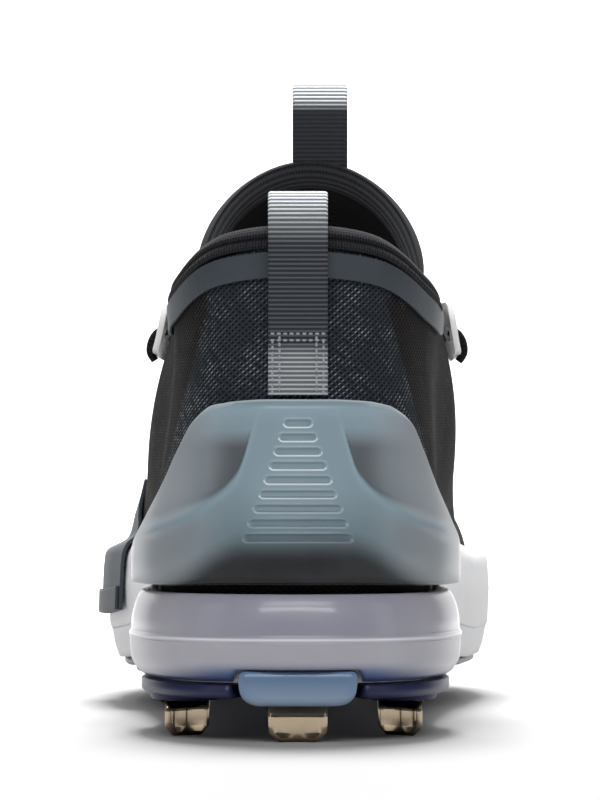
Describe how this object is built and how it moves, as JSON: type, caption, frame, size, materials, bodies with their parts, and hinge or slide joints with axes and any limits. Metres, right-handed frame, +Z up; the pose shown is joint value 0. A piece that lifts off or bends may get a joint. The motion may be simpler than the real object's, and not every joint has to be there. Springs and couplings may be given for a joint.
{
  "type": "baseball cleat",
  "caption": "Left mid-height metal baseball cleat with knit collar, laced tongue, clear heel counter and heel cradle, pull loops and steel spikes.",
  "frame": {"origin": "on the ground under the middle of the shoe's bounding box", "axes": "+Y towards the toe, +X towards the medial side, +Z up"},
  "size_m": [0.1118, 0.2984, 0.1673],
  "materials": {
    "upper_mesh": "matte",
    "midsole_foam": "matte",
    "insole_cloth": "matte",
    "plate_navy": "satin",
    "clear_blue": "gloss",
    "cradle_clear": "gloss",
    "spike_steel": "polished",
    "slate_film": "satin",
    "black_knit": "matte",
    "white_plastic": "satin",
    "webbing_grey": "matte",
    "lace_black": "matte"
  },
  "bodies": {
    "root": {"upper": "upper_mesh", "midsole": "midsole_foam", "insole": "insole_cloth", "outsole_plate": "plate_navy", "rear_spike_block": "clear_blue", "spike_heel_rear": "spike_steel", "spike_heel_lateral": "spike_steel", "spike_heel_medial": "spike_steel", "spike_ball_rear_lateral": "spike_steel", "spike_ball_rear_medial": "spike_steel", "spike_ball_front_lateral": "spike_steel", "spike_ball_front_medial": "spike_steel", "spike_toe_lateral": "spike_steel", "spike_toe_medial": "spike_steel", "heel_cradle": "cradle_clear", "heel_counter": "clear_blue", "collar_band": "slate_film", "collar_binding": "black_knit", "eyestay": "slate_film", "eyelet_wing_lateral": "white_plastic", "eyelet_wing_medial": "white_plastic", "lateral_panel": "slate_film", "tongue": "black_knit", "heel_pull_loop": "webbing_grey", "tongue_pull_loop": "webbing_grey", "lace": "lace_black"}
  },
  "joints": []
}
